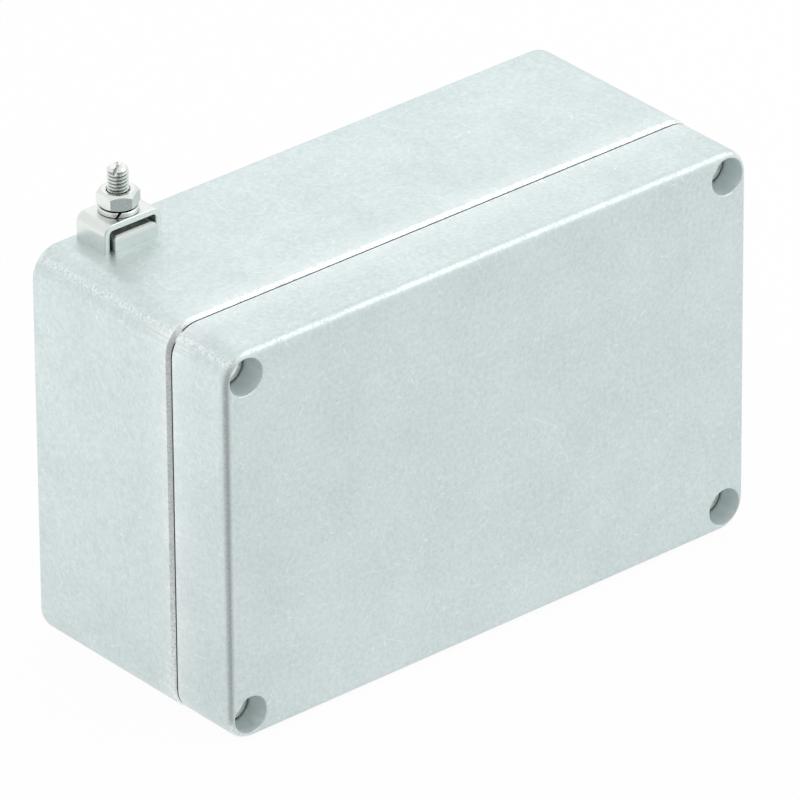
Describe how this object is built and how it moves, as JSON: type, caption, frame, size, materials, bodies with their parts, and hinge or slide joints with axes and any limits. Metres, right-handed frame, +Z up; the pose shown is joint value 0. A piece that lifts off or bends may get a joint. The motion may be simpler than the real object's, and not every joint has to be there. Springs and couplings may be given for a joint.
{
  "type": "explosion-proof enclosure",
  "caption": "Rectangular die-cast enclosure with a screwed, gasketed lid, captive corner screws, an earth stud with a saddle clamp and wall-fixing holes outside the seal.",
  "frame": {"origin": "centre of the wall-fixing holes on the back face, which lies against the wall", "axes": "+Z up, the enclosure standing on one long side as pictured; -Y out of the wall towards the lid; X along the long side, the earth terminal near the -X end of the top"},
  "size_m": [0.125, 0.055, 0.094],
  "materials": {
    "cast_aluminium": "bare die casting, tumbled to a pale satin",
    "stainless_steel": "bright, machined",
    "silicone": "matte, moulded",
    "fibre": "matte, punched",
    "nylon": "matte, punched"
  },
  "bodies": {
    "base": {"enclosure_base": "cast_aluminium", "earth_stud": "stainless_steel", "earth_clamp_plate": "stainless_steel", "inner_seal_washer": "fibre", "inner_fixing_washer": "stainless_steel", "inner_fixing_spring_washer": "stainless_steel", "inner_fixing_nut": "stainless_steel", "inner_contact_washer": "stainless_steel"},
    "lid": {"enclosure_lid": "cast_aluminium", "lid_gasket": "silicone", "lid_screw_retainer_top_left": "nylon", "lid_screw_retainer_top_right": "nylon", "lid_screw_retainer_bottom_left": "nylon", "lid_screw_retainer_bottom_right": "nylon"},
    "earth_clamp": {"earth_saddle": "stainless_steel", "earth_spring_washer": "stainless_steel"},
    "earth_nut": {"earth_nut": "stainless_steel"},
    "inner_clamp": {"inner_pressure_washer": "stainless_steel", "inner_clamp_spring_washer": "stainless_steel"},
    "inner_nut": {"inner_clamp_nut": "stainless_steel"},
    "screw_washer_top_left": {"lid_screw_spring_washer_top_left": "stainless_steel"},
    "lid_screw_top_left": {"lid_screw_top_left": "stainless_steel"},
    "screw_washer_top_right": {"lid_screw_spring_washer_top_right": "stainless_steel"},
    "lid_screw_top_right": {"lid_screw_top_right": "stainless_steel"},
    "screw_washer_bottom_left": {"lid_screw_spring_washer_bottom_left": "stainless_steel"},
    "lid_screw_bottom_left": {"lid_screw_bottom_left": "stainless_steel"},
    "screw_washer_bottom_right": {"lid_screw_spring_washer_bottom_right": "stainless_steel"},
    "lid_screw_bottom_right": {"lid_screw_bottom_right": "stainless_steel"}
  },
  "joints": [
    {"name": "lid_off", "type": "slide", "parent": "base", "child": "lid", "axis": [0, -1, 0], "range_m": [0, 0.05]},
    {"name": "screw_lift_top_left", "type": "slide", "parent": "lid", "child": "screw_washer_top_left", "axis": [0, -1, 0], "range_m": [0, 0.0077]},
    {"name": "screw_turn_top_left", "type": "hinge", "parent": "screw_washer_top_left", "child": "lid_screw_top_left", "pos_m": [-0.05725, -0.0474, 0.03475], "axis": [0, -1, 0], "range_deg": [0, 3960]},
    {"name": "screw_lift_top_right", "type": "slide", "parent": "lid", "child": "screw_washer_top_right", "axis": [0, -1, 0], "range_m": [0, 0.0077]},
    {"name": "screw_turn_top_right", "type": "hinge", "parent": "screw_washer_top_right", "child": "lid_screw_top_right", "pos_m": [0.05725, -0.0474, 0.03475], "axis": [0, -1, 0], "range_deg": [0, 3960]},
    {"name": "screw_lift_bottom_left", "type": "slide", "parent": "lid", "child": "screw_washer_bottom_left", "axis": [0, -1, 0], "range_m": [0, 0.0077]},
    {"name": "screw_turn_bottom_left", "type": "hinge", "parent": "screw_washer_bottom_left", "child": "lid_screw_bottom_left", "pos_m": [-0.05725, -0.0474, -0.03475], "axis": [0, -1, 0], "range_deg": [0, 3960]},
    {"name": "screw_lift_bottom_right", "type": "slide", "parent": "lid", "child": "screw_washer_bottom_right", "axis": [0, -1, 0], "range_m": [0, 0.0077]},
    {"name": "screw_turn_bottom_right", "type": "hinge", "parent": "screw_washer_bottom_right", "child": "lid_screw_bottom_right", "pos_m": [0.05725, -0.0474, -0.03475], "axis": [0, -1, 0], "range_deg": [0, 3960]},
    {"name": "earth_clamp_lift", "type": "slide", "parent": "base", "child": "earth_clamp", "axis": [0, 0, 1], "range_m": [0, 0.0056]},
    {"name": "earth_nut_turn", "type": "hinge", "parent": "earth_clamp", "child": "earth_nut", "pos_m": [-0.0465, -0.0064, 0.0462], "axis": [0, 0, 1], "range_deg": [0, 2880]},
    {"name": "inner_clamp_lift", "type": "slide", "parent": "base", "child": "inner_clamp", "axis": [0, 0, -1], "range_m": [0, 0.0021]},
    {"name": "inner_nut_turn", "type": "hinge", "parent": "inner_clamp", "child": "inner_nut", "pos_m": [-0.0465, -0.0064, 0.0263], "axis": [0, 0, -1], "range_deg": [0, 1080]}
  ],
  "couplings": [
    {"joint": "screw_turn_top_left", "follows": "screw_lift_top_left", "rad_per_m": 8976},
    {"joint": "screw_turn_top_right", "follows": "screw_lift_top_right", "rad_per_m": 8976},
    {"joint": "screw_turn_bottom_left", "follows": "screw_lift_bottom_left", "rad_per_m": 8976},
    {"joint": "screw_turn_bottom_right", "follows": "screw_lift_bottom_right", "rad_per_m": 8976},
    {"joint": "earth_nut_turn", "follows": "earth_clamp_lift", "rad_per_m": 8976},
    {"joint": "inner_nut_turn", "follows": "inner_clamp_lift", "rad_per_m": 8976}
  ]
}
